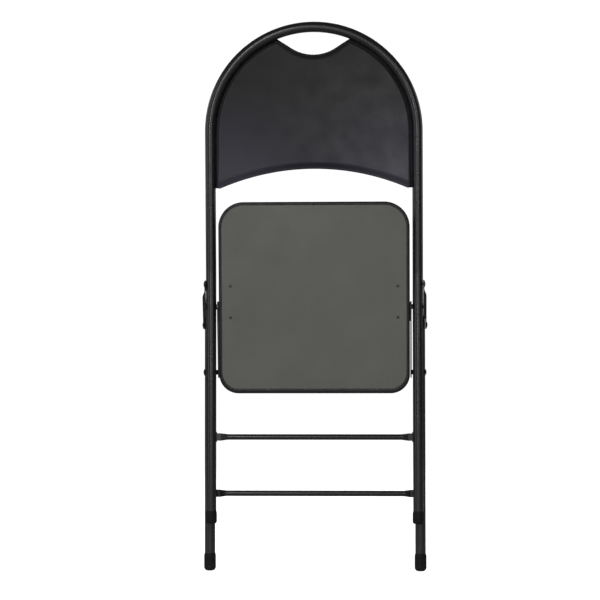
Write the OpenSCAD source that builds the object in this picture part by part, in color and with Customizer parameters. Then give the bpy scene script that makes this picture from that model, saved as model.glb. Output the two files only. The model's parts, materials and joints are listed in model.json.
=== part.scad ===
// Folding chair with a round-topped tube frame, standing folded and upright.
// Millimetres. +Z is up, X is the width, the sitter's side faces -Y.
// The rear feet stand on z = 0 and the origin is the bottom centre of the chair.

/* [Tubing] */
// Outer diameter of the frame tubes
tube_d = 22; // [20:0.5:23]
// Wall thickness of the frame tubes
tube_wall = 1.5; // [1:0.1:2.5]
// Diameter of the two crossbars
bar_d = 12; // [10:0.5:14]

/* [Front frame] */
// Distance between the two front legs, centre to centre
frame_w = 436; // [420:2:450]
// Height of the front feet while the chair stands folded
front_foot_z = 101; // [90:1:110]
// Height at which the legs bend into the back
bend_z = 625; // [615:1:650]
// Length of the straight tube between that bend and the round top
arch_rise = 290; // [280:1:300]
// Height of the front crossbar
front_bar_z = 283; // [220:1:340]

/* [Rear legs] */
// Distance between the two rear legs, centre to centre
rear_w = 445; // [445:1:449]
// How far the rear legs stand behind the front legs when folded
rear_y = 24; // [24:0.5:27]
// Height of the top ends of the rear legs
rear_top_z = 537; // [530:1:550]
// Height of the rear crossbar
rear_bar_z = 163; // [100:1:300]

/* [Hinges] */
// Height of the pins that carry the seat on the front legs
seat_pin_z = 557; // [555:1:560]
// Height of the pins that carry the rear legs on the seat
rear_pin_z = 419; // [415:1:423]
// Distance from the seat pins up to the upper link rivets
link_up = 47.5; // [44:0.1:50]
// Distance from the rear pins up to the lower link rivets
link_down = 100; // [96:0.5:104]
// Radius of the pivot pins
pin_r = 3.5; // [3:0.1:4]
// Radius of the rivets at the ends of the links
rivet_r = 3; // [2.5:0.1:3.2]

/* [Seat] */
// Width of the seat
seat_w = 403; // [396:1:403]
// Length of the seat in front of its pins
seat_front = 218; // [200:1:230]
// Length of the seat behind its pins
seat_back = 181; // [175:1:190]
// Corner radius of the seat
seat_corner = 54; // [45:1:60]
// Thickness of the padding
pad_t = 30; // [20:1:40]
// Lean of the folded seat, front edge towards the sitter's side
seat_tilt = 5; // [4:0.5:6]

/* [Back panel] */
// Radius of the round top of the panel's face
panel_r = 201; // [198:0.5:202]
// Wall thickness of the moulded panel
panel_t = 3; // [2.5:0.1:4]
// Radius of the hollow that the panel is moulded to
dish_r = 1300; // [1100:50:1600]
// Height of the lower edge at the middle, from the centre of the round top
panel_bottom = -79; // [-90:1:-70]
// Height of the bottom of the hand slot, from the centre of the round top
slot_bottom = 161; // [155:1:165]

/* [Hidden] */
$fn = 64;

// clearances
run_gap = 0.06;      // a pin turning in its hole
fixed_gap = 0.02;    // a rivet or screw fixed in its hole
face_gap = 0.4;      // faces that slide past each other
steel_t = 2.5;       // brackets and links

// frame
tube_r = tube_d / 2;
frame_half = frame_w / 2;
rear_half = rear_w / 2;
frame_in = frame_half - tube_r;
frame_out = frame_half + tube_r;
rear_in = rear_half - tube_r;
rear_out = rear_half + tube_r;
bend_r = 150;
bend_sin = 0.07584;  // the back bends 4.35 degrees towards the sitter, and this sine
bend_cos = 0.99712;  // and cosine are exact, so the bent stretches meet exactly
bar_flat = [10, 2.5, 8];   // the flat end of a crossbar: length, half thickness, half height
bar_taper = 14;

// feet
cap_floor = 4;
front_cap_r = 12.2;
front_cap_h = 27;
front_cap_round = 4;
rear_cap_r = 12.5;
rear_cap_h = 37;
rear_cap_round = 6;

// seat, in its own frame: origin on the seat pins, underside towards -Y
board_low = -12;
board_t = 9;
board_top = board_low + board_t;
board_inset = 4;
board_inset_back = 7;
pad_low = board_top + 0.2;
band_low = board_low + 1;
strip_r = 12;
strip_x = seat_w / 2 + 0.8;
leg_in_x = 166;
leg_low_z = -30;
leg_high_z = 52;
leg_side_z = 10;
pocket_gap = 0.3;
bracket_screw_x = 176;
bracket_screw_z = [-22, 44];
rear_pin_back = rear_y * cos(seat_tilt) - (seat_pin_z - rear_pin_z) * sin(seat_tilt);
rear_pin_down = rear_y * sin(seat_tilt) + (seat_pin_z - rear_pin_z) * cos(seat_tilt);

// links
link_w = 18;
link_top_z = seat_pin_z + link_up;
link_low_z = rear_pin_z + link_down;
link_len = norm([rear_y, link_top_z - link_low_z]);
link_angle = atan2(rear_y, link_top_z - link_low_z);
link_top_x = frame_out + face_gap;
link_low_x = rear_out + face_gap;
link_joggle = [14, 24];
rivet_head = [6.5, 2.2];
pin_head = [7, 2.4];
seat_spacer_r = 5.6;
rear_spacer_r = 5;

// back panel, in the back's frame: origin at the centre of the round top
panel_rim_t = 2.5;
flange_y = tube_r + 0.1;
flange_out_r = frame_half + 4;
dish_depth = 17;
dish_z = 30;
panel_side_len = 145;
panel_side_bottom = -123;
edge_half = 204;
edge_rise = panel_bottom - panel_side_bottom;
edge_r = (edge_half * edge_half + edge_rise * edge_rise) / (2 * edge_rise);
slot_r = 86;         // the round bottom of the hand slot
slot_slope = 33;     // and the slope of its straight sides
slot_step = 3;
slot_reach = 90;
slot_rim_half = 62;  // the stretch of the panel just under the slot
slot_rim_low = 149;
panel_front_y = -20;
panel_screw_angles = [8, 42, 138, 172];
panel_screw_low = -92;
screw_r = 2;
panel_screw_head = [4.2, 2.2];
bracket_screw_head = [3.4, 1.6];

// colours
paint_color = [0.10, 0.10, 0.10];
rivet_color = [0.14, 0.14, 0.14];
cap_color = [0.06, 0.06, 0.06];
vinyl_color = [0.09, 0.09, 0.10];
board_color = [0.36, 0.36, 0.34];
panel_color = [0.20, 0.20, 0.22];

// the whole chair is moved so that its box is centred on the origin in depth
front_reach = bend_r * (1 - bend_cos) + (arch_rise + frame_half) * bend_sin + tube_r;
back_reach = (pad_low + pad_t) * cos(seat_tilt) + seat_back * sin(seat_tilt);
depth_shift = (front_reach - back_reach) / 2;

// ---------- shared shapes and places ----------

module place() {
    translate([0, depth_shift, 0]) children();
}

module at_side(side) {
    if (side < 0) mirror([1, 0, 0]) children();
    else children();
}

// Moves children to the frame of the back, whose origin is the centre of the round top
module back_frame() {
    translate([0, -bend_r, bend_z])
        multmatrix([[1, 0, 0, 0], [0, bend_cos, -bend_sin, 0], [0, bend_sin, bend_cos, 0]])
            translate([0, bend_r, arch_rise]) children();
}

// Moves children to the frame of the seat, whose origin is on the seat pins
module seat_frame() {
    translate([0, 0, seat_pin_z]) rotate([seat_tilt, 0, 0]) children();
}

// A cylinder along X
module x_cyl(x0, x1, r) {
    translate([x0, 0, 0]) rotate([0, 90, 0]) cylinder(r = r, h = x1 - x0);
}

// A domed head along X, its flat side at x0 and its size given as [radius, height]
module x_head(x0, size) {
    rim = 0.6;
    dome = size[1] - rim;
    ball = (size[0] * size[0] + dome * dome) / (2 * dome);
    translate([x0, 0, 0]) rotate([0, 90, 0]) rotate_extrude() {
        square([size[0], rim]);
        intersection() {
            translate([0, size[1] - ball]) circle(r = ball, $fn = 256);
            translate([0, rim]) square([size[0], size[1]]);
        }
    }
}

// Stands a flat outline drawn in X and Z upright, from y0 to y1
module upright(y0, y1) {
    translate([0, y1, 0]) rotate([90, 0, 0]) linear_extrude(height = y1 - y0) children();
}

// Extrudes an outline drawn in Y and Z along X, from x0 to x1
module sideways(x0, x1) {
    translate([x0, 0, 0]) rotate([90, 0, 90]) linear_extrude(height = x1 - x0) children();
}

// A foot cap standing on z = 0, bored for its tube
module foot_cap(r, h, round_r) {
    difference() {
        rotate_extrude() {
            translate([0, round_r]) square([r, h - round_r]);
            square([r - round_r, h]);
            intersection() {
                translate([r - round_r, round_r]) circle(r = round_r);
                square([r, h]);
            }
        }
        translate([0, 0, cap_floor]) cylinder(r = tube_r + fixed_gap, h = h);
    }
}

// The outline of a crossbar whose half width is mid, then widens or narrows to end
module bar_outline(half, mid, end) {
    flat = half - tube_r - bar_flat[0];
    straight = flat - bar_taper;
    polygon([
        [-half, -end], [-flat, -end], [-straight, -mid], [straight, -mid], [flat, -end],
        [half, -end], [half, end], [flat, end], [straight, mid], [-straight, mid],
        [-flat, end], [-half, end]
    ]);
}

// A crossbar along X whose ends are pressed flat, coped to tubes at +-half
module crossbar(half) {
    spare = 1;
    difference() {
        intersection() {
            rotate([0, 90, 0]) rotate_extrude() intersection() {
                rotate(90) bar_outline(half, bar_d / 2, bar_flat[2]);
                translate([0, -half]) square([2 * bar_flat[2], 2 * half]);
            }
            translate([0, 0, -2 * bar_flat[2]]) linear_extrude(height = 4 * bar_flat[2])
                bar_outline(half, bar_d / 2 + spare, bar_flat[1]);
        }
        for (side = [-1, 1]) translate([side * half, 0, -2 * bar_flat[2]])
            cylinder(r = tube_r + fixed_gap, h = 4 * bar_flat[2]);
    }
}

// ---------- front frame ----------

module tube_section() {
    difference() {
        circle(d = tube_d);
        circle(d = tube_d - 2 * tube_wall);
    }
}

module leg_tube() {
    foot_z = front_foot_z + cap_floor;
    translate([frame_half, 0, foot_z]) linear_extrude(height = bend_z - foot_z) tube_section();
    intersection() {
        translate([frame_half, -bend_r, bend_z]) rotate([90, 0, 90]) rotate([0, 0, 180])
            rotate_extrude() translate([bend_r, 0]) tube_section();
        translate([frame_half - tube_d, -tube_d, bend_z]) cube(2 * tube_d);
        back_frame() translate([frame_half - tube_d, -tube_d, -arch_rise - 2 * tube_d])
            cube(2 * tube_d);
    }
    back_frame() translate([frame_half, 0, -arch_rise])
        linear_extrude(height = arch_rise) tube_section();
}

module panel_screw_places() {
    for (angle = panel_screw_angles)
        translate([frame_half * cos(angle), 0, frame_half * sin(angle)]) children();
    for (side = [-1, 1]) translate([side * frame_half, 0, panel_screw_low]) children();
}

module panel_screw_holes() {
    back_frame() panel_screw_places()
        rotate([-90, 0, 0]) cylinder(r = screw_r + fixed_gap, h = tube_d);
}

// The leg, its bend and the straight part of the back, below the part that forms the arch
module front_leg(side) {
    color(paint_color) place() difference() {
        at_side(side) leg_tube();
        at_side(side) translate([0, 0, seat_pin_z])
            x_cyl(frame_in - 1, frame_out + 1, pin_r + run_gap);
        at_side(side) translate([0, 0, link_top_z])
            x_cyl(frame_half, frame_out + 1, rivet_r + fixed_gap);
        panel_screw_holes();
    }
}

module back_arch() {
    color(paint_color) place() difference() {
        back_frame() intersection() {
            rotate([90, 0, 0]) rotate([0, 0, -90])
                rotate_extrude() translate([frame_half, 0]) tube_section();
            translate([-frame_w, -tube_d, 0]) cube([2 * frame_w, 2 * tube_d, frame_w]);
        }
        panel_screw_holes();
    }
}

module front_crossbar() {
    color(paint_color) place() translate([0, 0, front_bar_z]) crossbar(frame_half);
}

module front_foot_cap(side) {
    color(cap_color) place() translate([side * frame_half, 0, front_foot_z])
        foot_cap(front_cap_r, front_cap_h, front_cap_round);
}

module link_top_rivet(side) {
    head_x = link_top_x + steel_t + fixed_gap;
    color(rivet_color) place() at_side(side) translate([0, 0, link_top_z]) {
        x_cyl(frame_half + 2, head_x, rivet_r);
        x_head(head_x, rivet_head);
    }
}

// ---------- back panel ----------

// The hand slot and all above it: a round bottom that runs out into straight sides
module slot_outline() {
    side_x = slot_r * sin(slot_slope) + slot_reach;
    side_z = slot_bottom + slot_r * (1 - cos(slot_slope)) + slot_reach * tan(slot_slope);
    polygon(concat(
        [[-side_x, side_z]],
        [for (a = [-slot_slope : slot_step : slot_slope])
            [slot_r * sin(a), slot_bottom + slot_r * (1 - cos(a))]],
        [[side_x, side_z]]
    ));
}

module panel_outline(r) {
    difference() {
        union() {
            circle(r = r);
            translate([-r, -panel_side_len]) square([2 * r, panel_side_len]);
        }
        translate([0, panel_bottom - edge_r]) circle(r = edge_r, $fn = 128);
        slot_outline();
    }
}

module panel_ring(r_in, r_out) {
    difference() {
        panel_outline(r_out);
        circle(r = r_in);
        translate([-r_in, -panel_side_len - 1]) square([2 * r_in, panel_side_len + 1]);
    }
}

module dish(r) {
    translate([0, dish_depth - dish_r, dish_z]) sphere(r = r, $fn = 128);
}

// The panel's face before its front is hollowed out
module panel_face() {
    intersection() {
        upright(panel_front_y, dish_depth + panel_t) panel_outline(panel_r);
        dish(dish_r + panel_t);
    }
}

module slot_rim_room() {
    translate([-slot_rim_half, panel_front_y - 1, slot_rim_low])
        cube([2 * slot_rim_half, dish_depth - panel_front_y + panel_t + 2, panel_r - slot_rim_low]);
}

module back_panel() {
    color(panel_color) place() back_frame() difference() {
        union() {
            panel_face();
            upright(panel_front_y, flange_y + panel_t) panel_ring(panel_r - panel_rim_t, panel_r);
            upright(flange_y, flange_y + panel_t)
                panel_ring(panel_r - panel_rim_t, flange_out_r);
        }
        dish(dish_r);
        slot_rim_room();
        panel_screw_places() rotate([-90, 0, 0])
            cylinder(r = screw_r + fixed_gap, h = tube_d);
    }
}

// The stretch of the same moulding just under the hand slot
module hand_slot_rim() {
    color(panel_color) place() back_frame() difference() {
        intersection() {
            panel_face();
            slot_rim_room();
        }
        dish(dish_r);
    }
}

module back_panel_screws() {
    head_y = flange_y + panel_t;
    color(rivet_color) place() back_frame() panel_screw_places() rotate([0, 0, 90]) {
        x_cyl(tube_r - 2 * tube_wall, head_y, screw_r);
        x_head(head_y, panel_screw_head);
    }
}

// ---------- seat ----------

// A rounded outline inset from the seat's edge, and inset_back at its back edge
module seat_outline(inset, inset_back) {
    half = seat_w / 2 - inset;
    low = -seat_back + inset_back;
    high = seat_front - inset;
    r = seat_corner - inset;
    translate([-half, low + r]) square([2 * half, high - low - 2 * r]);
    translate([-half + r, low]) square([2 * (half - r), high - low]);
    for (x = [-half + r, half - r]) for (z = [low + r, high - r]) translate([x, z]) circle(r = r);
}

// The room that the bracket's foot takes in the board and in the edge band
module bracket_foot_room() {
    for (side = [-1, 1]) at_side(side)
        translate([leg_in_x - pocket_gap, board_top - steel_t, leg_low_z - pocket_gap]) {
            cube([seat_w / 2 - board_inset - leg_in_x, steel_t + 1,
                leg_high_z - leg_low_z + 2 * pocket_gap]);
            cube([seat_w, steel_t + 1, leg_side_z - leg_low_z + 2 * pocket_gap]);
        }
}

module bracket_screw_places() {
    for (side = [-1, 1]) for (z = bracket_screw_z)
        translate([side * bracket_screw_x, 0, z]) children();
}

module seat_board() {
    color(board_color) place() seat_frame() difference() {
        upright(board_low, board_top) seat_outline(board_inset, board_inset_back);
        bracket_foot_room();
        bracket_screw_places() translate([0, board_low - 1, 0]) rotate([-90, 0, 0])
            cylinder(r = screw_r + fixed_gap, h = 2 * board_t);
    }
}

module seat_cushion() {
    color(vinyl_color) place() seat_frame()
        upright(pad_low, pad_low + pad_t) seat_outline(0, 0);
}

module seat_edge_band() {
    gap = 0.2;
    color(vinyl_color) place() seat_frame() difference() {
        upright(band_low, board_top) seat_outline(gap, gap);
        upright(band_low - 1, board_top + 1)
            seat_outline(board_inset - gap, board_inset_back - gap);
        bracket_foot_room();
    }
}

module seat_bracket(side) {
    strip_len = norm([rear_pin_back, rear_pin_down]);
    color(paint_color) place() seat_frame() at_side(side) difference() {
        union() {
            sideways(strip_x, strip_x + steel_t) {
                circle(r = strip_r);
                rotate(atan2(rear_pin_back, rear_pin_down)) {
                    translate([-strip_r, -strip_len]) square([2 * strip_r, strip_len]);
                    translate([0, -strip_len]) circle(r = strip_r);
                }
            }
            translate([leg_in_x, board_top - steel_t, leg_low_z]) {
                cube([seat_w / 2 - board_inset - leg_in_x - 2 * pocket_gap, steel_t,
                    leg_high_z - leg_low_z]);
                cube([strip_x + 1 - leg_in_x, steel_t, leg_side_z - leg_low_z]);
            }
        }
        x_cyl(strip_x - 1, strip_x + steel_t + 1, pin_r + fixed_gap);
        translate([0, rear_pin_back, -rear_pin_down])
            x_cyl(strip_x - 1, strip_x + steel_t + 1, pin_r + fixed_gap);
        for (z = bracket_screw_z) translate([bracket_screw_x, board_top + 1, z])
            rotate([90, 0, 0]) cylinder(r = screw_r + fixed_gap, h = steel_t + 2);
    }
}

module seat_bracket_screws() {
    color(rivet_color) place() seat_frame() bracket_screw_places() rotate([0, 0, -90]) {
        x_cyl(-board_top + pocket_gap, -board_low, screw_r);
        x_head(-board_low, bracket_screw_head);
    }
}

// A pivot pin from the bracket out through a tube whose outer side is at out_x
module pivot_pin(out_x) {
    x_cyl(strip_x, out_x + face_gap, pin_r);
    x_head(out_x + face_gap, pin_head);
}

// A spacer between the bracket and a tube whose inner side is at in_x
module spacer(in_x, r) {
    difference() {
        x_cyl(strip_x + steel_t + 0.1, in_x - face_gap / 2, r);
        x_cyl(strip_x, in_x + 1, pin_r + fixed_gap);
    }
}

module seat_pin(side) {
    color(rivet_color) place() at_side(side)
        translate([0, 0, seat_pin_z]) pivot_pin(frame_out);
}

module seat_spacer(side) {
    color(cap_color) place() at_side(side)
        translate([0, 0, seat_pin_z]) spacer(frame_in, seat_spacer_r);
}

module rear_pin(side) {
    color(rivet_color) place() at_side(side)
        translate([0, rear_y, rear_pin_z]) pivot_pin(rear_out);
}

module rear_spacer(side) {
    color(cap_color) place() at_side(side)
        translate([0, rear_y, rear_pin_z]) spacer(rear_in, rear_spacer_r);
}

// ---------- rear legs ----------

module rear_leg(side) {
    color(paint_color) place() at_side(side) difference() {
        translate([rear_half, rear_y, cap_floor])
            cylinder(d = tube_d, h = rear_top_z - cap_floor);
        translate([rear_half, rear_y, 0])
            cylinder(d = tube_d - 2 * tube_wall, h = rear_top_z + 1);
        translate([0, rear_y, rear_pin_z]) x_cyl(rear_in - 1, rear_out + 1, pin_r + run_gap);
    }
}

module rear_crossbar() {
    color(paint_color) place() translate([0, rear_y, rear_bar_z]) crossbar(rear_half);
}

module rear_foot_cap(side) {
    color(cap_color) place() translate([side * rear_half, rear_y, 0])
        foot_cap(rear_cap_r, rear_cap_h, rear_cap_round);
}

module rear_leg_plug(side) {
    plug_t = 2;
    stem = 12;
    color(cap_color) place()
        translate([side * rear_half, rear_y, rear_top_z + fixed_gap]) {
            cylinder(r = tube_r, h = plug_t / 2);
            translate([0, 0, plug_t / 2]) cylinder(r1 = tube_r, r2 = tube_r - 2, h = plug_t / 2);
            translate([0, 0, -stem]) cylinder(r = tube_r - tube_wall - fixed_gap, h = stem);
        }
}

// ---------- links ----------

// The link's edge-on shape, X against the distance along the link
module link_profile() {
    step = link_low_x - link_top_x;
    polygon([
        [link_top_x, link_w],
        [link_top_x, -link_joggle[0]],
        [link_top_x + step, -link_joggle[1]],
        [link_top_x + step, -link_len - link_w],
        [link_top_x + step + steel_t, -link_len - link_w],
        [link_top_x + step + steel_t, -link_joggle[1]],
        [link_top_x + steel_t, -link_joggle[0]],
        [link_top_x + steel_t, link_w]
    ]);
}

module hinge_link(side) {
    color(paint_color) place() at_side(side)
        translate([0, 0, link_top_z]) rotate([link_angle, 0, 0]) difference() {
            intersection() {
                upright(-link_w, link_w) link_profile();
                sideways(link_top_x - 1, link_low_x + steel_t + 1) {
                    circle(d = link_w);
                    translate([-link_w / 2, -link_len]) square([link_w, link_len]);
                    translate([0, -link_len]) circle(d = link_w);
                }
            }
            x_cyl(link_top_x - 1, link_top_x + steel_t + 1, rivet_r + run_gap);
            translate([0, 0, -link_len])
                x_cyl(link_low_x - 1, link_low_x + steel_t + 1, rivet_r + fixed_gap);
        }
}

module link_lower_rivet(side) {
    color(rivet_color) place() at_side(side) translate([0, rear_y, link_low_z]) {
        x_cyl(link_low_x, link_low_x + steel_t + fixed_gap, rivet_r);
        x_head(link_low_x + steel_t + fixed_gap, rivet_head);
    }
}

front_leg(-1);  // front_leg_left
front_leg(1);  // front_leg_right
back_arch();
front_crossbar();
front_foot_cap(-1);  // front_foot_cap_left
front_foot_cap(1);  // front_foot_cap_right
back_panel();
hand_slot_rim();
back_panel_screws();
link_top_rivet(-1);  // link_top_rivet_left
link_top_rivet(1);  // link_top_rivet_right
seat_board();
seat_cushion();
seat_edge_band();
seat_bracket(-1);  // seat_bracket_left
seat_bracket(1);  // seat_bracket_right
seat_bracket_screws();
seat_pin(-1);  // seat_pin_left
seat_pin(1);  // seat_pin_right
seat_spacer(-1);  // seat_spacer_left
seat_spacer(1);  // seat_spacer_right
rear_pin(-1);  // rear_pin_left
rear_pin(1);  // rear_pin_right
rear_spacer(-1);  // rear_spacer_left
rear_spacer(1);  // rear_spacer_right
rear_leg(-1);  // rear_leg_left
rear_leg(1);  // rear_leg_right
rear_crossbar();
rear_foot_cap(-1);  // rear_foot_cap_left
rear_foot_cap(1);  // rear_foot_cap_right
rear_leg_plug(-1);  // rear_leg_plug_left
rear_leg_plug(1);  // rear_leg_plug_right
hinge_link(-1);  // hinge_link_left
hinge_link(1);  // hinge_link_right
link_lower_rivet(-1);  // link_lower_rivet_left
link_lower_rivet(1);  // link_lower_rivet_right
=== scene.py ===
import json
import math

import bmesh
import bpy
import numpy as np
from mathutils import Matrix, Vector
from mathutils.geometry import delaunay_2d_cdt


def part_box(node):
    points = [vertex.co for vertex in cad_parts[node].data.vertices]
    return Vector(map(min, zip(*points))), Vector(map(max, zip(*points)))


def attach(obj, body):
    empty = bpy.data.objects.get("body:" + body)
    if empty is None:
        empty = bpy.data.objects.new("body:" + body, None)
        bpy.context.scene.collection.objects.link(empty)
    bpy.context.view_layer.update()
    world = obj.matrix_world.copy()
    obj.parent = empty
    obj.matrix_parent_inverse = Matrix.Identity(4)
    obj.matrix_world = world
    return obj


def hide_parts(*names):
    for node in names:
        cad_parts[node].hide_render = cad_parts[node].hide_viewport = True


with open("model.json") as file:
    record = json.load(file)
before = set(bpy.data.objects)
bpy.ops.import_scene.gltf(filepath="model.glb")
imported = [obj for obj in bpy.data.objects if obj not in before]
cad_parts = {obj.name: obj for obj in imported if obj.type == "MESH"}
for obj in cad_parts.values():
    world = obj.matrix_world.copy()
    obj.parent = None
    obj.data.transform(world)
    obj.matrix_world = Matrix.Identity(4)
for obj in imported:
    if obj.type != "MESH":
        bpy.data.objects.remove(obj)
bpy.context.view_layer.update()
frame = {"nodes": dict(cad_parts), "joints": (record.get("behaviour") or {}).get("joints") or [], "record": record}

# Lengths are in millimetres until a mesh is made, then in metres.
MM = 0.001
SIDES = (("left", -1), ("right", 1))
scene = bpy.context.scene
scene.view_settings.view_transform = "Standard"

# ---------- sizes, which repeat those of the CAD model ----------
TUBE_R = 11.0
FRAME_HALF = 218.0
REAR_HALF = 222.5
BEND = math.atan2(0.07584, 0.99712)
JOINTS = {j["name"]: Vector(j["pos_m"]) / MM for j in frame["joints"]}
SEAT_PIN = JOINTS["seat_fold"]
REAR_PIN = JOINTS["rear_fold"]
LINK_TOP = JOINTS["left_link_turn"]
LINK_FOOT_Z = 519.0
LINK_W, LINK_T, LINK_GAP = 18.0, 2.5, 0.4
FRONT_Y, REAR_Y = SEAT_PIN.y, REAR_PIN.y
LINK_DROP, LINK_SET = LINK_TOP.z - LINK_FOOT_Z, REAR_Y - FRONT_Y
SEAT_TILT = math.radians(5)
ARCH_CENTRE = Vector((0, FRONT_Y - 22.426, 925.541))

SEAT_HALF, SEAT_FRONT, SEAT_BACK, SEAT_CORNER = 201.5, 218.0, 181.0, 54.0
BACK_CORNER = 41.0
BOARD_LOW, BOARD_TOP = -12.0, -3.0
FOLD_FRONT, FOLD_BACK = 3.5, 2.0

PANEL_R, PANEL_LOW = 201.0, -79.0
EDGE_R = 494.9
DISH_R, DISH_DEPTH, DISH_Z = 1300.0, 17.0, 30.0
SLOT_LOW, SLOT_R, SLOT_SLOPE = 161.0, 86.0, math.radians(33)
FLANGE_Y, FLANGE_OUT, FLANGE_T = 11.1, 222.0, 3.0
SIDE_LOW = -119.0
SCREW_ANGLES, LOW_SCREW_Z = (8, 42, 138, 172), -92.0
BOARD_SCREW_X, BOARD_SCREW_Z = 176.0, (-22.0, 44.0)


def box_mm(node):
    low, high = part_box(node)
    return low / MM, high / MM


def placed(points, angle, origin):
    """Points turned by an angle about X and moved to an origin."""
    p = np.asarray(points, float)
    s, c = math.sin(angle), math.cos(angle)
    y, z = p[:, 1] * c - p[:, 2] * s, p[:, 1] * s + p[:, 2] * c
    return np.column_stack([p[:, 0], y, z]) + np.array(origin)


def back_place(points):
    """From the back's frame, whose origin is the centre of the round top, to the row frame."""
    return placed(points, BEND, ARCH_CENTRE)


def seat_place(points):
    """From the seat's frame, whose origin is on the seat pins, to the row frame."""
    return placed(points, SEAT_TILT, (0, SEAT_PIN.y, SEAT_PIN.z))


# ---------- camera, light, floor ----------

def make_camera():
    aim = Vector((-0.0299, 0.0, 0.5712))
    distance, view_width, sensor = 4.2, 1.264, 36.0
    yaw, pitch, roll = (math.radians(a) for a in (2.6, 1.6, -0.07))
    level = math.cos(pitch)
    away = Vector((math.sin(yaw) * level, -math.cos(yaw) * level, -math.sin(pitch)))
    data = bpy.data.cameras.new("camera")
    data.sensor_width = sensor
    data.lens = sensor * distance / view_width
    camera = bpy.data.objects.new("camera", data)
    scene.collection.objects.link(camera)
    turn = (-away).to_track_quat("-Z", "Y").to_matrix() @ Matrix.Rotation(roll, 3, "Z")
    camera.matrix_world = Matrix.Translation(aim + away * distance) @ turn.to_4x4()
    scene.camera = camera


WHITE, COOL = (1, 1, 1), (0.9, 0.92, 1)
# name, place, height of the point on the Z axis that it faces, size, power in watts, colour
LIGHTS = (
    ("key", (-0.7, -3.5, 1.5), 0.6, (0.5, 2.0), 30, WHITE),
    ("fill", (1.5, -3.5, 1.2), 0.6, (0.5, 1.6), 12, WHITE),
    ("low", (0, -3.0, 0.25), 0.8, (2.2, 0.3), 3, COOL),
    ("left", (-2.6, -1.6, 1.1), 0.6, (1.0, 2.2), 10, WHITE),
    ("side_left", (-2.8, 0.9, 1.5), 0.6, (1.2, 1.6), 9, WHITE),
    ("side_right", (2.8, 0.9, 1.5), 0.6, (1.2, 1.6), 9, WHITE),
    ("behind", (0, 3.2, 2.0), 0.6, (2.6, 1.6), 34, WHITE),
)


def area_light(name, place, aim_z, size, power, color):
    data = bpy.data.lights.new(name, "AREA")
    data.shape = "RECTANGLE"
    data.size, data.size_y = size
    data.energy = power
    data.color = color
    light = bpy.data.objects.new(name, data)
    light.location = place
    direction = Vector((0, 0, aim_z)) - Vector(place)
    light.visible_camera = False
    light.rotation_euler = direction.to_track_quat("-Z", "Y").to_euler()
    scene.collection.objects.link(light)


def make_studio():
    """The lights, and a background that is dim as a light and plain white to the camera."""
    world = bpy.data.worlds.new("studio")
    scene.world = world
    world.use_nodes = True
    tree = world.node_tree
    soft = tree.nodes["Background"]
    soft.inputs["Color"].default_value = (0.96, 0.98, 1, 1)
    soft.inputs["Strength"].default_value = 0.1
    seen = tree.nodes.new("ShaderNodeBackground")
    seen.inputs["Strength"].default_value = 1.05
    seen.inputs["Color"].default_value = (1, 1, 1, 1)
    path = tree.nodes.new("ShaderNodeLightPath")
    mix = tree.nodes.new("ShaderNodeMixShader")
    tree.links.new(path.outputs["Is Camera Ray"], mix.inputs[0])
    tree.links.new(soft.outputs[0], mix.inputs[1])
    tree.links.new(seen.outputs[0], mix.inputs[2])
    tree.links.new(mix.outputs[0], tree.nodes["World Output"].inputs["Surface"])
    for light in LIGHTS:
        area_light(*light)


make_camera()
make_studio()


# ---------- materials ----------

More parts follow.
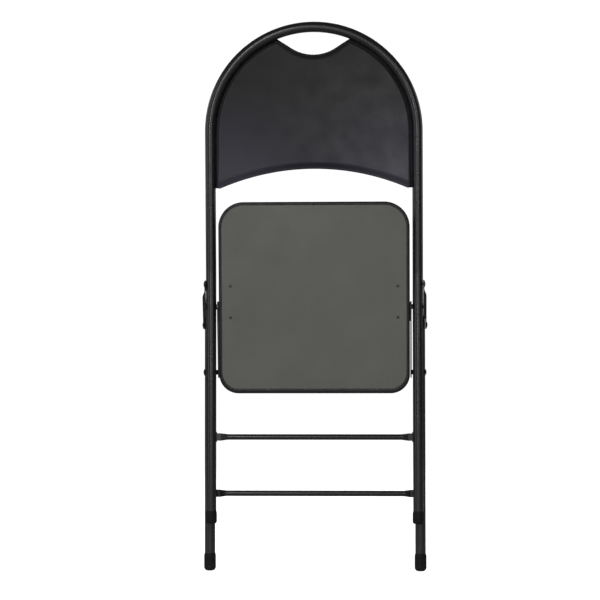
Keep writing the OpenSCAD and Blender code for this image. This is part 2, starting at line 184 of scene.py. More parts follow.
class Shader:
    """A principled material and the few node patterns that the pieces share."""

    def __init__(self, name, color, roughness, **sockets):
        self.material = bpy.data.materials.new(name)
        self.material.use_nodes = True
        self.tree = self.material.node_tree
        self.bsdf = self.tree.nodes["Principled BSDF"]
        self.bsdf.inputs["Base Color"].default_value = (*color, 1)
        self.bsdf.inputs["Roughness"].default_value = roughness
        for key, value in sockets.items():
            self.bsdf.inputs[key.replace("_", " ")].default_value = value
        self.coordinates = self.tree.nodes.new("ShaderNodeTexCoord").outputs["Object"]
        self.height = None

    def node(self, kind, **settings):
        made = self.tree.nodes.new(kind)
        for key, value in settings.items():
            setattr(made, key, value)
        return made

    def link(self, out, into):
        self.tree.links.new(out, into)

    def noise(self, scale, detail=2.0, rough=0.5):
        made = self.node("ShaderNodeTexNoise")
        made.inputs["Scale"].default_value = scale
        made.inputs["Detail"].default_value = detail
        made.inputs["Roughness"].default_value = rough
        self.link(self.coordinates, made.inputs["Vector"])
        return made.outputs["Fac"]

    def cells(self, scale, feature="F1"):
        made = self.node("ShaderNodeTexVoronoi", feature=feature)
        made.inputs["Scale"].default_value = scale
        self.link(self.coordinates, made.inputs["Vector"])
        return made.outputs["Distance"]

    def remap(self, value, low, high, to_low, to_high):
        made = self.node("ShaderNodeMapRange")
        self.link(value, made.inputs["Value"])
        for key, number in (("From Min", low), ("From Max", high), ("To Min", to_low), ("To Max", to_high)):
            made.inputs[key].default_value = number
        return made.outputs["Result"]

    def math(self, operation, a, b):
        made = self.node("ShaderNodeMath", operation=operation)
        for socket, value in zip(made.inputs, (a, b)):
            if isinstance(value, (int, float)):
                socket.default_value = value
            else:
                self.link(value, socket)
        return made.outputs["Value"]

    def tint(self, value, stops):
        """Base colour from a value between 0 and 1, through colour stops (place, colour)."""
        ramp = self.node("ShaderNodeValToRGB")
        elements = ramp.color_ramp.elements
        while len(elements) < len(stops):
            elements.new(0.5)
        for element, (place, color) in zip(elements, stops):
            element.position = place
            element.color = (*color, 1)
        self.link(value, ramp.inputs["Fac"])
        self.link(ramp.outputs["Color"], self.bsdf.inputs["Base Color"])

    def rough(self, value, low, high):
        self.link(self.remap(value, 0.3, 0.7, low, high), self.bsdf.inputs["Roughness"])

    def bump(self, height, distance, strength=1.0):
        made = self.node("ShaderNodeBump")
        made.inputs["Distance"].default_value = distance
        made.inputs["Strength"].default_value = strength
        self.link(height, made.inputs["Height"])
        if self.height is not None:
            self.link(self.height, made.inputs["Normal"])
        self.height = made.outputs["Normal"]
        self.link(self.height, self.bsdf.inputs["Normal"])

    def above_floor(self, low, high):
        """0 below low and 1 above high, in metres above the floor at rest."""
        split = self.node("ShaderNodeSeparateXYZ")
        self.link(self.coordinates, split.inputs["Vector"])
        return self.remap(split.outputs["Z"], low, high, 0.0, 1.0)


def enamel():
    m = Shader("black_enamel", (0.012, 0.012, 0.013), 0.34, Coat_Weight=0.2, Coat_Roughness=0.2)
    patches = m.noise(9, 4)
    dust = m.math("MULTIPLY", m.math("SUBTRACT", 1.0, m.above_floor(0.02, 0.30)), m.noise(60, 5, 0.65))
    m.tint(m.math("ADD", m.math("MULTIPLY", patches, 0.35), m.math("MULTIPLY", dust, 0.75)),
           ((0.0, (0.007, 0.007, 0.0075)), (0.35, (0.011, 0.011, 0.0115)), (1.0, (0.035, 0.034, 0.032))))
    m.rough(m.math("ADD", m.math("MULTIPLY", m.noise(34, 4), 0.8), m.math("MULTIPLY", dust, 0.5)), 0.26, 0.42)
    m.bump(m.noise(520, 2), 0.00003, 0.3)
    m.bump(m.noise(24, 2), 0.0002, 0.2)
    return m.material


def steel():
    m = Shader("blackened_steel", (0.03, 0.03, 0.031), 0.36, Metallic=0.35)
    grime = m.noise(180, 4)
    m.tint(grime, ((0.3, (0.012, 0.012, 0.013)), (0.7, (0.03, 0.03, 0.03))))
    m.rough(m.noise(700, 3), 0.28, 0.5)
    m.bump(m.noise(1500, 2), 0.00005)
    return m.material


def cap_plastic():
    m = Shader("cap_rubber", (0.008, 0.008, 0.008), 0.55, Specular_IOR_Level=0.25)
    scuff = m.math("MULTIPLY", m.math("SUBTRACT", 1.0, m.above_floor(0.0, 0.03)), m.noise(240, 5, 0.7))
    m.tint(m.math("ADD", m.math("MULTIPLY", m.noise(50, 3), 0.3), scuff),
           ((0.0, (0.004, 0.004, 0.004)), (0.4, (0.008, 0.008, 0.008)), (1.0, (0.04, 0.039, 0.036))))
    m.rough(m.noise(300, 4), 0.45, 0.68)
    m.bump(m.noise(1800, 3), 0.00012)
    return m.material


def panel_plastic():
    """Lighter towards its lower corners, as the photo shows it: a painted reflection and sheen in the base colour,
    laid over random mottling.
    """
    m = Shader("moulded_back", (0.02, 0.02, 0.024), 0.45, Specular_IOR_Level=0.35)
    split = m.node("ShaderNodeSeparateXYZ")
    m.link(m.coordinates, split.inputs["Vector"])
    # Painted reflection: the base colour gets lighter and bluer towards the bottom and the sides; the noise only
    # adds random mottling.
    low = m.remap(split.outputs["Z"], 0.84, 1.03, 1.0, 0.0)
    wide = m.remap(m.math("ABSOLUTE", split.outputs["X"], 0.0), 0.03, 0.16, 0.5, 1.0)
    mottle_and_painted_sheen = m.math("ADD", m.math("MULTIPLY", m.noise(7, 3), 0.14),
                  m.math("MULTIPLY", m.math("MULTIPLY", low, wide), 0.8))
    m.tint(mottle_and_painted_sheen, ((0.1, (0.005, 0.005, 0.005)), (0.45, (0.018, 0.0165, 0.028)), (1.0, (0.056, 0.052, 0.072))))
    m.rough(m.noise(26, 4), 0.38, 0.5)
    m.bump(m.cells(900), 0.00005, 0.6)
    m.bump(m.noise(1400, 3), 0.00008, 0.6)
    m.bump(m.noise(11, 2), 0.0006, 0.2)
    return m.material


def vinyl():
    m = Shader("black_vinyl", (0.012, 0.012, 0.013), 0.44, Specular_IOR_Level=0.4)
    grain = m.cells(620, "SMOOTH_F1")
    m.tint(m.noise(14, 5, 0.6), ((0.3, (0.007, 0.007, 0.008)), (0.7, (0.014, 0.014, 0.015))))
    uneven = m.math("ADD", m.math("MULTIPLY", grain, 0.35), m.math("MULTIPLY", m.noise(30, 3), 0.6))
    m.rough(uneven, 0.34, 0.52)
    m.bump(grain, 0.0005, 0.7)
    m.bump(m.noise(260, 4), 0.0003, 0.5)
    m.bump(m.noise(28, 3), 0.001, 0.3)
    return m.material


def board_grey():
    m = Shader("seat_board_grey", (0.083, 0.083, 0.074), 0.6)
    m.tint(m.math("ADD", m.math("MULTIPLY", m.noise(5, 3), 0.6), m.math("MULTIPLY", m.noise(420, 3), 0.4)),
           ((0.3, (0.137, 0.139, 0.119)), (0.7, (0.171, 0.172, 0.149))))
    m.rough(m.noise(18, 4), 0.52, 0.68)
    m.bump(m.noise(900, 3), 0.00012, 0.8)
    m.bump(m.noise(70, 3), 0.0002, 0.6)
    return m.material


def weld_metal():
    m = Shader("painted_weld", (0.016, 0.016, 0.017), 0.34, Coat_Weight=0.25, Coat_Roughness=0.2)
    m.tint(m.noise(300, 3), ((0.3, (0.012, 0.012, 0.012)), (0.7, (0.022, 0.022, 0.023))))
    m.bump(m.noise(420, 3), 0.0004)
    return m.material


def dull_screw():
    m = Shader("dull_screw", (0.07, 0.07, 0.064), 0.5, Metallic=0.4)
    m.tint(m.noise(500, 3), ((0.3, (0.05, 0.05, 0.046)), (0.7, (0.085, 0.085, 0.078))))
    m.rough(m.noise(800, 2), 0.42, 0.6)
    return m.material


def floor_white():
    """Plain white to the camera, so it meets the background without an edge, and pale grey to the light."""
    m = Shader("studio_floor", (0.62, 0.62, 0.62), 0.8, Emission_Color=(1, 1, 1, 1), Emission_Strength=0.0)
    seen = m.node("ShaderNodeLightPath").outputs["Is Camera Ray"]
    m.link(m.remap(seen, 0.0, 1.0, 0.0, 1.0), m.bsdf.inputs["Emission Strength"])
    m.tint(m.noise(2, 3), ((0.3, (0.61, 0.61, 0.61)), (0.7, (0.63, 0.63, 0.63))))
    m.bump(m.noise(60, 3), 0.0003)
    return m.material


LOOKS = {
    "frame_paint": enamel(),
    "dark_steel": steel(),
    "cap_plastic": cap_plastic(),
    "back_plastic": panel_plastic(),
    "board_grey": board_grey(),
    "seat_vinyl": vinyl(),
}
WELD = weld_metal()
SCREW = dull_screw()
SLOT_OF = {s["node"]: s["material_slot"] for s in frame["record"]["subparts"]}
for node, o in frame["nodes"].items():
    o.data.materials.clear()
    o.data.materials.append(LOOKS[SLOT_OF[node]])


# ---------- mesh building ----------

def piece(name, verts, faces, body, slot, replaces=(), look=None, sharp=35.0):
    """A mesh object that rides on a body, from points in millimetres in the row frame."""
    mesh = bpy.data.meshes.new(name)
    mesh.from_pydata((np.asarray(verts, float) * MM).tolist(), [], faces)
    bm = bmesh.new()
    bm.from_mesh(mesh)
    bmesh.ops.remove_doubles(bm, verts=bm.verts, dist=2e-6)
    bmesh.ops.recalc_face_normals(bm, faces=bm.faces)
    bm.to_mesh(mesh)
    bm.free()
    mesh.polygons.foreach_set("use_smooth", [True] * len(mesh.polygons))
    mesh.set_sharp_from_angle(angle=math.radians(sharp))
    mesh.materials.append(look or LOOKS[slot])
    made = bpy.data.objects.new(name, mesh)
    scene.collection.objects.link(made)
    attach(made, body)
    if replaces:
        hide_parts(*replaces)
    return made


def joined(*parts):
    """Several (verts, faces) as one."""
    verts, faces, start = [], [], 0
    for v, f in parts:
        verts.append(np.asarray(v, float))
        faces += [[i + start for i in face] for face in f]
        start += len(v)
    return np.vstack(verts), faces


def tube_faces(rings, around, closed_along=False):
    """Quads between rings of points, each ring closed."""
    faces = []
    last = rings if closed_along else rings - 1
    for i in range(last):
        for k in range(around):
            a, b = i * around, ((i + 1) % rings) * around
            n = (k + 1) % around
            faces.append([a + k, a + n, b + n, b + k])
    return faces


def swept(sections, closed=False):
    """A solid through equal sections (each an array of points), capped at its ends unless closed."""
    around = len(sections[0])
    faces = tube_faces(len(sections), around, closed)
    if not closed:
        faces.append(list(range(around)))
        faces.append([(len(sections) - 1) * around + k for k in range(around)])
    return np.vstack(sections), faces


def lathed(profile, turns=48):
    """A solid of revolution about Z from (radius, height) points, the first and last on the axis."""
    verts = [(0, 0, profile[0][1])]
    for r, h in profile[1:-1]:
        verts += [(r * math.cos(a), r * math.sin(a), h) for a in np.arange(turns) * 2 * math.pi / turns]
    verts.append((0, 0, profile[-1][1]))
    rings = len(profile) - 2
    faces = [[i + 1 for i in f] for f in tube_faces(rings, turns)]
    last = len(verts) - 1
    for k in range(turns):
        n = (k + 1) % turns
        faces.append([0, 1 + n, 1 + k])
        faces.append([last, last - turns + k, last - turns + n])
    return np.array(verts), faces


def smooth_step(t):
    t = np.clip(t, 0, 1)
    return t * t * (3 - 2 * t)


def outward(loop):
    """Outward normals of a closed counter-clockwise outline."""
    along = np.roll(loop, -1, 0) - np.roll(loop, 1, 0)
    along /= np.linalg.norm(along, axis=1)[:, None]
    return np.column_stack([along[:, 1], -along[:, 0]])


def spaced(points, step, closed=True):
    """Points along a polyline at an even spacing close to step."""
    p = np.vstack([points, points[:1]]) if closed else np.asarray(points, float)
    run = np.concatenate([[0], np.cumsum(np.linalg.norm(np.diff(p, axis=0), axis=1))])
    count = max(3, int(round(run[-1] / step)))
    at = np.linspace(0, run[-1], count + 1)
    if closed:
        at = at[:-1]
    return np.column_stack([np.interp(at, run, p[:, k]) for k in range(p.shape[1])])


def eased(loop, passes):
    """Rounds an outline's corners a little."""
    for _ in range(passes):
        loop = (np.roll(loop, 1, 0) + 2 * loop + np.roll(loop, -1, 0)) / 4
    return loop


def edge_distance(points, loop):
    """How far each point is from a closed outline."""
    a, b = loop, np.roll(loop, -1, 0)
    span = b - a
    size = np.maximum((span ** 2).sum(1), 1e-12)
    nearest = np.full(len(points), np.inf)
    for i in range(0, len(points), 1500):
        p = points[i:i + 1500, None, :]
        t = np.clip(((p - a) * span).sum(2) / size, 0, 1)
        nearest[i:i + 1500] = np.linalg.norm(p - a - t[..., None] * span, axis=2).min(1)
    return nearest


def inside(points, loop):
    """Which points are inside a closed outline."""
    x, y = points[:, 0][:, None], points[:, 1][:, None]
    a, b = loop, np.roll(loop, -1, 0)
    crosses = (a[:, 1] > y) != (b[:, 1] > y)
    rise = np.where(b[:, 1] == a[:, 1], 1e-9, b[:, 1] - a[:, 1])
    at = (b[:, 0] - a[:, 0]) * (y - a[:, 1]) / rise + a[:, 0]
    return (crosses & (x < at)).sum(1) % 2 == 1


def plate(outline, rim, front, thick, rings, grid, round_steps=4):
    """A closed plate with a rounded rim. outline is counter-clockwise in the plate's plane (a, b), rim is
    the radius of its edge at each point, and front and thick give depth and thickness from (points,
    distance to edge). Returns points (a, depth, b) and faces."""
    outline = np.asarray(outline, float)
    rim = np.broadcast_to(np.asarray(rim, float), (len(outline),))
    normal = outward(outline)
    loop = outline - normal * rim[:, None]
    extra = []
    for d in rings:
        ring = loop - normal * d
        extra.append(ring[(edge_distance(ring, loop) > 0.93 * d) & inside(ring, loop)])
    low, high = loop.min(0), loop.max(0)
    cells = [np.arange(low[k] + grid / 2, high[k], grid) for k in range(2)]
    aa, bb = np.meshgrid(*cells)
    aa = aa + (np.arange(len(bb))[:, None] % 2) * grid / 2
    fill = np.column_stack([aa.ravel(), bb.ravel()])
    fill = fill[inside(fill, loop)]
    margin = (rings[-1] if rings else 0) + 0.5 * grid
    extra.append(fill[edge_distance(fill, loop) > margin])
    points = np.vstack([loop] + extra)
    count = len(loop)
    made = delaunay_2d_cdt([Vector(p) for p in points.tolist()], [], [list(range(count))], 1, 1e-6)
    flat = np.array([tuple(v) for v in made[0]])
    where = {}
    for i, sources in enumerate(made[3]):
        for s in sources:
            where[s] = i
    d = edge_distance(flat, loop)
    d[[where[i] for i in range(count)]] = 0
    y0 = front(flat, d)
    t = thick(flat, d)
    total = len(flat)
    verts = [np.column_stack([flat[:, 0], y0, flat[:, 1]]), np.column_stack([flat[:, 0], y0 + t, flat[:, 1]])]
    faces = [list(f) for f in made[2]] + [[i + total for i in reversed(f)] for f in made[2]]
    edge = np.array([where[i] for i in range(count)])
    bend = [math.pi / 2 * (k + 1) / round_steps for k in range(round_steps)]
    ring_ids = [edge]
    start = 2 * total
    for back in (False, True):
        for angle in (reversed(bend) if back else bend):
            out = loop + normal * (rim * math.sin(angle))[:, None]
            drop = rim * (1 - math.cos(angle))
            depth = y0[edge] + (t[edge] - drop if back else drop)
            verts.append(np.column_stack([out[:, 0], depth, out[:, 1]]))
            ring_ids.append(np.arange(start, start + count))
            start += count
    ring_ids.append(edge + total)
    for lower, upper in zip(ring_ids, ring_ids[1:]):
        for k in range(count):
            n = (k + 1) % count
            faces.append([int(lower[k]), int(upper[k]), int(upper[n]), int(lower[n])])
    return np.vstack(verts), faces


def flat_depth(value):
    return lambda p, d: np.full(len(p), float(value))


# ---------- back panel ----------

def arc(centre, r, start, end, step):
    count = max(2, int(abs(end - start) * r / step))
    angles = np.linspace(start, end, count + 1)
    return np.column_stack([centre[0] + r * np.cos(angles), centre[1] + r * np.sin(angles)])


def slot_curve():
    """The bottom of the hand slot from its right corner to its left one."""
    tip_x = SLOT_R * math.sin(SLOT_SLOPE)
    tip_z = SLOT_LOW + SLOT_R * (1 - math.cos(SLOT_SLOPE))
    steep = math.tan(SLOT_SLOPE)
    # where the straight side meets the panel's round edge
    a, b, c = 1 + steep ** 2, 2 * steep * (tip_z - steep * tip_x), (tip_z - steep * tip_x) ** 2 - PANEL_R ** 2
    corner_x = (-b + math.sqrt(b * b - 4 * a * c)) / (2 * a)
    corner_z = tip_z + steep * (corner_x - tip_x)
    bottom = arc((0, SLOT_LOW + SLOT_R), SLOT_R, -math.pi / 2 + SLOT_SLOPE, -math.pi / 2 - SLOT_SLOPE, 3)
    return np.vstack([[(corner_x, corner_z)], bottom, [(-corner_x, corner_z)]])


SLOT = slot_curve()
SLOT_ANGLE = math.atan2(SLOT[0][1], SLOT[0][0])


def panel_edge():
    """The back panel's outline in the back's frame."""
    edge_centre = (0, PANEL_LOW - EDGE_R)
    half = math.asin(PANEL_R / EDGE_R)
    bottom = arc(edge_centre, EDGE_R, math.pi / 2 + half, math.pi / 2 - half, 3)
    right = arc((0, 0), PANEL_R, 0, SLOT_ANGLE, 3)
    left = arc((0, 0), PANEL_R, math.pi - SLOT_ANGLE, math.pi, 3)
    return eased(spaced(np.vstack([bottom, right, SLOT, left]), 3.0), 3)


def dish(p):
    """Depth of the back panel's hollow front, part of a sphere."""
    return DISH_DEPTH - DISH_R + np.sqrt(DISH_R ** 2 - p[:, 0] ** 2 - (p[:, 1] - DISH_Z) ** 2)


def from_bottom(p):
    return np.hypot(p[:, 0], p[:, 1] - (PANEL_LOW - EDGE_R)) - EDGE_R


def from_side(p):
    return PANEL_R - np.where(p[:, 1] > 0, np.hypot(p[:, 0], p[:, 1]), np.abs(p[:, 0]))


def from_slot(p):
    line = np.vstack([SLOT, SLOT[::-1]])
    return edge_distance(p, line)


def panel_front(p, d):
    lip = 5.0 * (1 - smooth_step(from_bottom(p) / 17)) + 3.2 * (1 - smooth_step(from_slot(p) / 11))
    rolled = 1.2 * (1 - smooth_step(from_side(p) / 3))
    return dish(p) - lip + rolled


def panel_thick(p, d):
    bead = np.maximum(1 - smooth_step((from_bottom(p) - 3) / 6), 1 - smooth_step((from_slot(p) - 2.5) / 6))
    return 3.0 + 2.6 * bead


def below_slot(verts):
    """Moves points that lie above the slot's straight side round to it."""
    steep = math.tan(SLOT_SLOPE)
    base = SLOT[0][1] - steep * SLOT[0][0]
    radius = np.hypot(verts[:, 0], verts[:, 2])
    root = np.sqrt(np.maximum((steep * base) ** 2 - (1 + steep ** 2) * (base ** 2 - radius ** 2), 0))
    x = (root - steep * base) / (1 + steep ** 2)
    above = verts[:, 2] > base + steep * verts[:, 0]
    verts[above, 0] = x[above]
    verts[above, 2] = base + steep * x[above]
    return verts


def make_back_panel():
    edge = panel_edge()
    bead = np.maximum(1 - smooth_step(from_bottom(edge) / 8), 1 - smooth_step(from_slot(edge) / 8))
    rim = 1.4 + 1.3 * bead
    rings = (0.7, 1.5, 2.5, 3.7, 5.2, 7, 9, 11.5, 14.5, 18)
    face = plate(edge, rim, panel_front, panel_thick, rings, 7.0, 5)

    def wall(side):
        straight = np.column_stack([np.full(34, PANEL_R), np.linspace(SIDE_LOW, 0, 34)])[:-1]
        curve = arc((0, 0), PANEL_R, 0, SLOT_ANGLE + 0.004, 4)
        path = np.vstack([straight, curve])
        normal = np.where(path[:, 1:] > 0, path / PANEL_R, np.array([[1.0, 0.0]]))
        start = panel_front(path - normal * 2, None) + 1.4
        out = FLANGE_OUT - PANEL_R
        far = FLANGE_Y + FLANGE_T
        sections = []
        for p, n, y in zip(path, normal, start):
            shape = [(-0.9, y), (-0.9, FLANGE_Y - 1.6), (-0.4, FLANGE_Y - 0.5), (0.8, FLANGE_Y),
                     (out - 1.4, FLANGE_Y), (out - 0.3, FLANGE_Y + 0.5), (out, FLANGE_Y + 1.5),
                     (out - 0.3, far - 0.5), (out - 1.4, far), (-1.0, far), (-2.4, far - 0.5),
                     (-3.1, far - 1.8), (-3.1, y + 0.6)]
            sections.append([(p[0] + n[0] * r, depth, p[1] + n[1] * r) for r, depth in shape])
        verts, faces = swept([np.array(s) for s in sections])
        return below_slot(verts) * np.array([side, 1, 1]), faces

    verts, faces = joined(face, wall(1), wall(-1))
    piece("back_shell", back_place(verts), faces, "front_frame", "back_plastic",
          ("back_panel", "hand_slot_rim"))


# ---------- seat ----------

def seat_outline(inset, inset_back, step):
    """The seat's rounded outline, counter-clockwise in X and Z."""
    half, low, high = SEAT_HALF - inset, -SEAT_BACK + inset_back, SEAT_FRONT - inset
    r, b = SEAT_CORNER - inset, BACK_CORNER - inset
    corners = ((half - r, high - r, r), (-half + r, high - r, r),
               (-half + b, low + b, b), (half - b, low + b, b))
    quarter = math.pi / 2
    loop = np.vstack([arc((x, z), size, q * quarter, (q + 1) * quarter, step)
                      for q, (x, z, size) in enumerate(corners)])
    # the vinyl's fold makes the seat a little longer than its core
    along = loop[:, 1].copy()
    loop[:, 1] += FOLD_FRONT * smooth_step((along - 60) / 100) - FOLD_BACK * smooth_step((-along - 60) / 100)
    return spaced(loop, step)


def make_seat_board():
    loop = seat_outline(6.8, 10.3, 5.0)
    flat = plate(loop, 1.3, flat_depth(BOARD_LOW), flat_depth(BOARD_TOP - BOARD_LOW), (2.0, 6.0), 24.0)
    piece("seat_pan", seat_place(flat[0]), flat[1], "seat", "board_grey", ("seat_board",))


def make_seat_wrap():
    """The vinyl that turns over the seat's edge to the underside."""
    loop = seat_outline(0.3, 0.3, 3.0)
    normal = outward(loop)
    backness = smooth_step((-120 - loop[:, 1]) / 55)
    cornerness = smooth_step((np.abs(loop[:, 0]) - 150) / 20) * (
        smooth_step((loop[:, 1] - 164) / 20) + smooth_step((-127 - loop[:, 1]) / 20))
    run = np.concatenate([[0], np.cumsum(np.linalg.norm(np.diff(loop, axis=0), axis=1))])
    pleat = cornerness * (0.45 * np.sin(run * 2 * math.pi / 9.3) + 0.25 * np.sin(run * 2 * math.pi / 5.1 + 1))
    sections = []
    for p, n, back, fold in zip(loop, normal, backness, pleat):
        deep = 6.7 + 3.5 * back
        shape = [(-1.2, BOARD_TOP + 0.1), (-0.2, -4.4), (0.0, -6.4), (-0.2, -8.4), (-0.9, -10.0 - 0.4 * fold),
                 (-2.0, -11.1 - fold), (-3.2, -11.7 - fold), (-deep, -11.8 - 0.6 * fold),
                 (-deep - 0.9, -11.2), (-deep - 1.0, -9.0), (-deep, -4.0), (-deep, BOARD_TOP + 0.1)]
        sections.append(np.array([(p[0] + n[0] * r, y, p[1] + n[1] * r) for r, y in shape]))
    verts, faces = swept(sections, closed=True)
    piece("seat_wrap", seat_place(verts), faces, "seat", "seat_vinyl", ("seat_edge_band",), sharp=60)


def make_pad():
    """The foam pad under its vinyl: a rounded form that is blown up a little by a cloth simulation."""
    pad_low = BOARD_TOP + 0.2
    loop = seat_outline(3.0, 3.0, 6.0)
    thick = 22.0

    def crown(p, d):
        return thick * (0.55 + 0.45 * smooth_step(d / 34)) + 2.0 * smooth_step(d / 150)

    rings = (3.0, 8.0, 14.0, 22.0, 32.0)
    verts, faces = plate(loop, 6.0, flat_depth(pad_low), crown, rings, 14.0, 5)
    pad = piece("seat_pad", seat_place(verts), faces, "seat", "seat_vinyl", ("seat_cushion",), sharp=180)
    simulate(pad, seat_place(np.array([[0, pad_low + 3.0, 0]]))[0])


def simulate(pad, on_board):
    """Blows the pad up with Cloth, holding what lies on the board, and keeps the result."""
    voxel, cap, last_step = 5 * MM, 6 * MM, 20
    remesh = pad.modifiers.new("even", "REMESH")
    remesh.mode = "VOXEL"
    remesh.voxel_size = voxel
    bake(pad)
    lean = Vector((0, math.cos(SEAT_TILT), math.sin(SEAT_TILT)))
    height = np.array([(v.co - Vector(on_board) * MM).dot(lean) for v in pad.data.vertices])
    held = pad.vertex_groups.new(name="held")
    for i, h in enumerate(height):
        held.add([i], 1.0 if h < 0 else 0.0, "REPLACE")
    rest = np.array([v.co for v in pad.data.vertices])
    cloth = pad.modifiers.new("cloth", "CLOTH")
    cloth.settings.quality = 5
    cloth.settings.mass = 0.4
    cloth.settings.tension_stiffness = 18
    cloth.settings.compression_stiffness = 18
    cloth.settings.bending_stiffness = 1.5
    cloth.settings.vertex_group_mass = "held"
    cloth.settings.use_pressure = True
    cloth.settings.uniform_pressure_force = 4.0
    cloth.settings.effector_weights.gravity = 0
    for step in range(1, last_step + 1):
        scene.frame_set(step)
    bake(pad)
    moved = np.array([v.co for v in pad.data.vertices]) - rest
    far = np.linalg.norm(moved, axis=1)
    share = np.where(far > 1e-9, np.minimum(1, cap * np.tanh(far / cap) / np.maximum(far, 1e-9)), 0)
    settled = rest + moved * share[:, None]
    pad.data.vertices.foreach_set("co", settled.ravel())
    pad.modifiers.new("finer", "SUBSURF").levels = 1
    bake(pad)
    pad.data.polygons.foreach_set("use_smooth", [True] * len(pad.data.polygons))
    scene.frame_set(1)


def bake(o):
    """Applies an object's modifiers to its mesh."""
    bpy.context.view_layer.update()
    graph = bpy.context.evaluated_depsgraph_get()
    made = bpy.data.meshes.new_from_object(o.evaluated_get(graph))
    old = o.data
    o.modifiers.clear()
    o.data = made
    made.name = old.name
    bpy.data.meshes.remove(old)
    if not made.materials:
        made.materials.append(LOOKS["seat_vinyl"])


# ---------- feet, welds, hinges, screws ----------

def cap_profile(r, height, tip):
    turn = [math.pi / 2 * k / 6 for k in range(7)]
    points = [(0, 1.2), (r - tip - 3, 1.2), (r - tip - 2.2, 0.0)]
    points += [(r - tip + tip * math.sin(a), tip - tip * math.cos(a)) for a in turn]
    points += [(r, height - 6.5), (r - 0.15, height - 4.5), (r - 0.7, height - 1.6), (r - 1.05, height - 0.5),
               (TUBE_R + 0.15, height), (TUBE_R - 0.4, height - 0.3), (TUBE_R - 0.4, 5.0), (0, 5.0)]
    return points


def make_caps():
    for name, side in SIDES:
        for kind, x, y, r, tip, body in (("front", FRAME_HALF, FRONT_Y, 12.2, 5.0, "front_frame"),
                                         ("rear", REAR_HALF, REAR_Y, 12.5, 7.5, "rear_legs")):
            node = f"{kind}_foot_cap_{name}"
            low, high = box_mm(node)
            verts, faces = lathed(cap_profile(r, high.z - low.z, tip), 56)
            piece(f"{kind}_cap_{name}", verts + np.array([side * x, y, low.z]), faces, body,
                  "cap_plastic", (node,), sharp=50)


def make_welds():
    bars = (("front_crossbar", FRAME_HALF, "front_frame"), ("rear_crossbar", REAR_HALF, "rear_legs"))
    for bar, half, body in bars:
        low, high = box_mm(bar)
        y0 = FRONT_Y if body == "front_frame" else REAR_Y
        z0 = (low.z + high.z) / 2
        for name, side in SIDES:
            sections = []
            steps = 72
            for k in range(steps):
                a = 2 * math.pi * k / steps
                dy, dz = 3.9 * math.cos(a), 9.0 * math.sin(a)
                inward = math.sqrt(TUBE_R ** 2 - dy ** 2)
                centre = np.array([side * (half - inward), y0 + dy, z0 + dz])
                out = np.array([-side * inward, dy, 0]) / TUBE_R
                around = np.array([0, math.cos(a), math.sin(a)])
                size = 1.9 + 0.22 * math.sin(9 * a + side) + 0.15 * math.sin(23 * a)
                ring = [centre - 0.3 * out + size * (math.cos(t) * out + math.sin(t) * around)
                        for t in np.arange(10) * 2 * math.pi / 10]
                sections.append(np.array(ring))
            verts, faces = swept(sections, closed=True)
            piece(f"{bar}_weld_{name}", verts, faces, body, "frame_paint", look=WELD)


def stadium(w, length, step):
    """A slot-shaped outline, its upper end at the origin and its lower one at -length."""
    r = w / 2
    top = arc((0, 0), r, 0, math.pi, step)
    low = arc((0, -length), r, math.pi, 2 * math.pi, step)
    return spaced(np.vstack([top, low]), step)


def link_flange(length, top_x, joggle):
    """The link's front edge, folded towards the front leg between its two ends."""
    sections = []
    for r in np.linspace(11, length - 12, 44):
        web = float(joggle(np.array([[0.0, -r]]), None)[0])
        fold = smooth_step((r - 11) / 3) * smooth_step((length - 12 - r) / 10)
        inner = web + 1.2 - fold * (web + 1.2 - top_x + 0.1)
        shape = [(-9.0, web + 1.9), (-9.0, inner + 0.4), (-8.6, inner),
                 (-7.6, inner), (-7.2, inner + 0.4), (-7.2, web + 1.9)]
        sections.append(np.array([(across, depth, -r) for across, depth in shape]))
    return swept(sections)


def make_links():
    for name, side in SIDES:
        length = math.hypot(LINK_SET, LINK_DROP)
        angle = math.atan2(LINK_SET, LINK_DROP)
        top_x, low_x = FRAME_HALF + TUBE_R + LINK_GAP, REAR_HALF + TUBE_R + LINK_GAP

        def joggle(p, d):
            return top_x + (low_x - top_x) * smooth_step((-p[:, 1] - 12) / 14)

        web = plate(stadium(LINK_W, length, 2.2), 0.6, joggle, flat_depth(LINK_T), (1.0, 2.5, 4.5), 3.0, 3)
        verts, faces = joined(web, link_flange(length, top_x, joggle))
        s, c = math.sin(angle), math.cos(angle)
        across, depth, along = verts.T
        hung = np.column_stack([side * depth, FRONT_Y + across * c - along * s,
                                LINK_TOP.z + across * s + along * c])
        piece(f"side_link_{name}", hung, faces, f"{name}_link", "frame_paint", (f"hinge_link_{name}",))


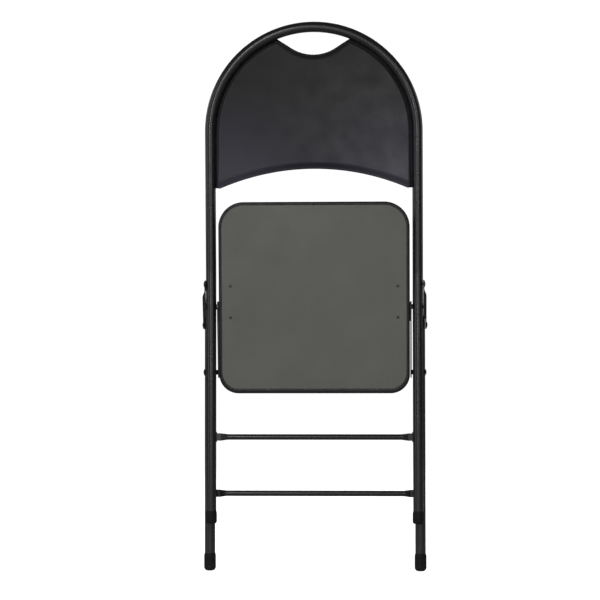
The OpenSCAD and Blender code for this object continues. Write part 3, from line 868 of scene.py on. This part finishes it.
def screw_head(r, height):
    """A domed head with a cross recess, its flat side at 0 and its axis along +Z."""
    turns, rings = 64, 16
    rows = []
    for k in range(1, rings + 1):
        q = r * k / rings
        for a in np.arange(turns) * 2 * math.pi / turns:
            x, y = q * math.cos(a), q * math.sin(a)
            dome = 0.35 * height + 0.65 * height * math.sqrt(max(0.0, 1 - (q / r) ** 2))
            arm = 0.13 * r
            cut = min(abs(x), abs(y)) < arm and max(abs(x), abs(y)) < 0.58 * r
            rows.append((x, y, dome - (0.5 * height if cut else 0.0)))
    top = (0, 0, height * 0.5)
    skirt = [(r * math.cos(a), r * math.sin(a), 0.0) for a in np.arange(turns) * 2 * math.pi / turns]
    verts = [top] + rows + skirt + [(0, 0, 0)]
    faces = [[i + 1 for i in f] for f in tube_faces(rings + 1, turns)]
    last = len(verts) - 1
    for k in range(turns):
        n = (k + 1) % turns
        faces.append([0, 1 + n, 1 + k])
        faces.append([last, last - turns + k, last - turns + n])
    return np.array(verts), faces


def heads(head, places, first, step, flip, depth):
    """A copy of a screw head at each place, each turned by a different angle about its axis along Y."""
    verts, faces = head
    parts = []
    for k, (x, z) in enumerate(places):
        c, s = math.cos(first + step * k), math.sin(first + step * k)
        turned = np.column_stack([verts[:, 0] * c - verts[:, 1] * s, flip * verts[:, 2],
                                  verts[:, 0] * s + verts[:, 1] * c])
        parts.append((turned + np.array([x, depth, z]), faces))
    return joined(*parts)


def make_screws():
    """Six that hold the back to the round top and the uprights, and four through the seat board."""
    backs = [(FRAME_HALF * math.cos(math.radians(a)), FRAME_HALF * math.sin(math.radians(a)))
             for a in SCREW_ANGLES]
    backs += [(-FRAME_HALF, LOW_SCREW_Z), (FRAME_HALF, LOW_SCREW_Z)]
    verts, faces = heads(screw_head(4.2, 2.2), backs, 0.5, 1.3, 1, FLANGE_Y + FLANGE_T)
    piece("back_shell_screws", back_place(verts), faces, "front_frame", "dark_steel",
          ("back_panel_screws",), sharp=30)
    boards = [(side * BOARD_SCREW_X, z) for side in (-1, 1) for z in BOARD_SCREW_Z]
    verts, faces = heads(screw_head(3.0, 1.4), boards, 0.3, 1.1, -1, BOARD_LOW)
    piece("seat_screws", seat_place(verts), faces, "seat", "dark_steel", ("seat_bracket_screws",), SCREW, 30)


def make_floor():
    span, cells = 6.0, 24
    row = cells + 1
    edge = np.linspace(-span, span, row)
    verts = [(x, y, 0.0) for y in edge for x in edge]
    corners = [j * row + i for j in range(cells) for i in range(cells)]
    faces = [[k, k + 1, k + row + 1, k + row] for k in corners]
    mesh = bpy.data.meshes.new("floor")
    mesh.from_pydata(verts, [], faces)
    mesh.materials.append(floor_white())
    floor = bpy.data.objects.new("floor", mesh)
    scene.collection.objects.link(floor)


make_floor()
make_back_panel()
make_seat_board()
make_seat_wrap()
make_pad()
make_caps()
make_welds()
make_links()
make_screws()
